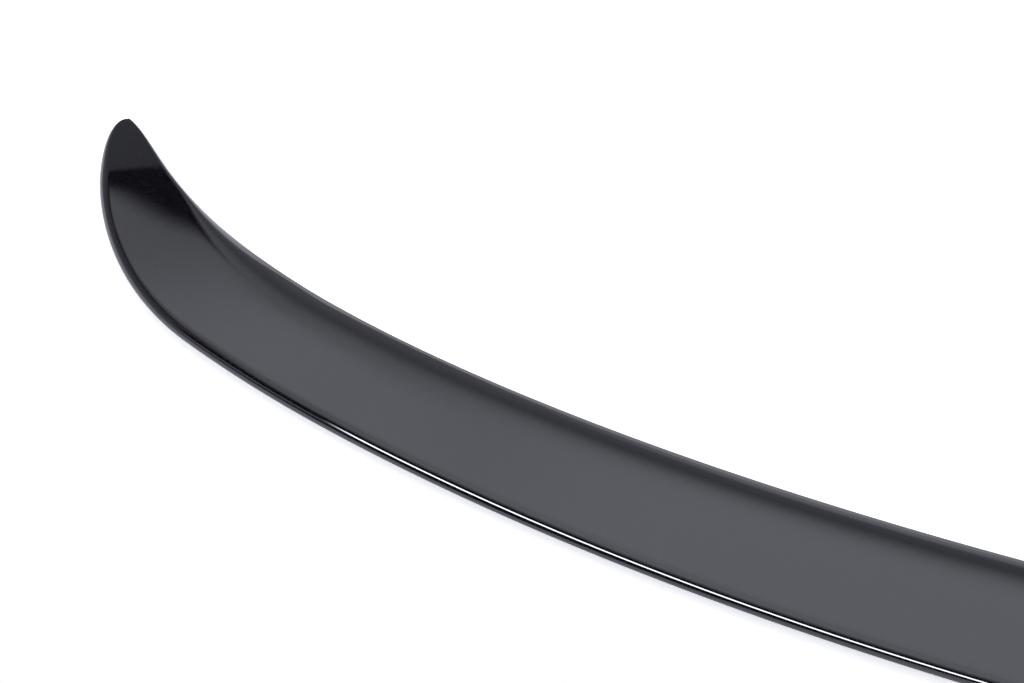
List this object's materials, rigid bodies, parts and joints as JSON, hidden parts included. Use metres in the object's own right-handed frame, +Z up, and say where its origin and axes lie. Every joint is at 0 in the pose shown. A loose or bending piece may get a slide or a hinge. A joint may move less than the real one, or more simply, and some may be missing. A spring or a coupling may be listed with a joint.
{
  "type": "car rear spoiler",
  "caption": "Slim boot-lid lip spoiler with forward-swept tapering ends, a rounded nose over an undercut rear wall, and a ribbed hollow underside bonded with foam tape.",
  "frame": {"origin": "middle of the footprint on the lid: in the car's centre plane, on the surface that the underside follows, halfway between the leading and the trailing edge", "axes": "+X to the car's right along the span, +Y forward towards the swept tips, +Z up"},
  "size_m": [1.2198, 0.2354, 0.0184],
  "materials": {
    "black_lacquer": "high gloss lacquer",
    "foam_tape": "matte foam with a red release film"
  },
  "bodies": {
    "root": {"spoiler_shell": "black_lacquer", "front_tape": "foam_tape", "rear_tape": "foam_tape"}
  },
  "joints": []
}
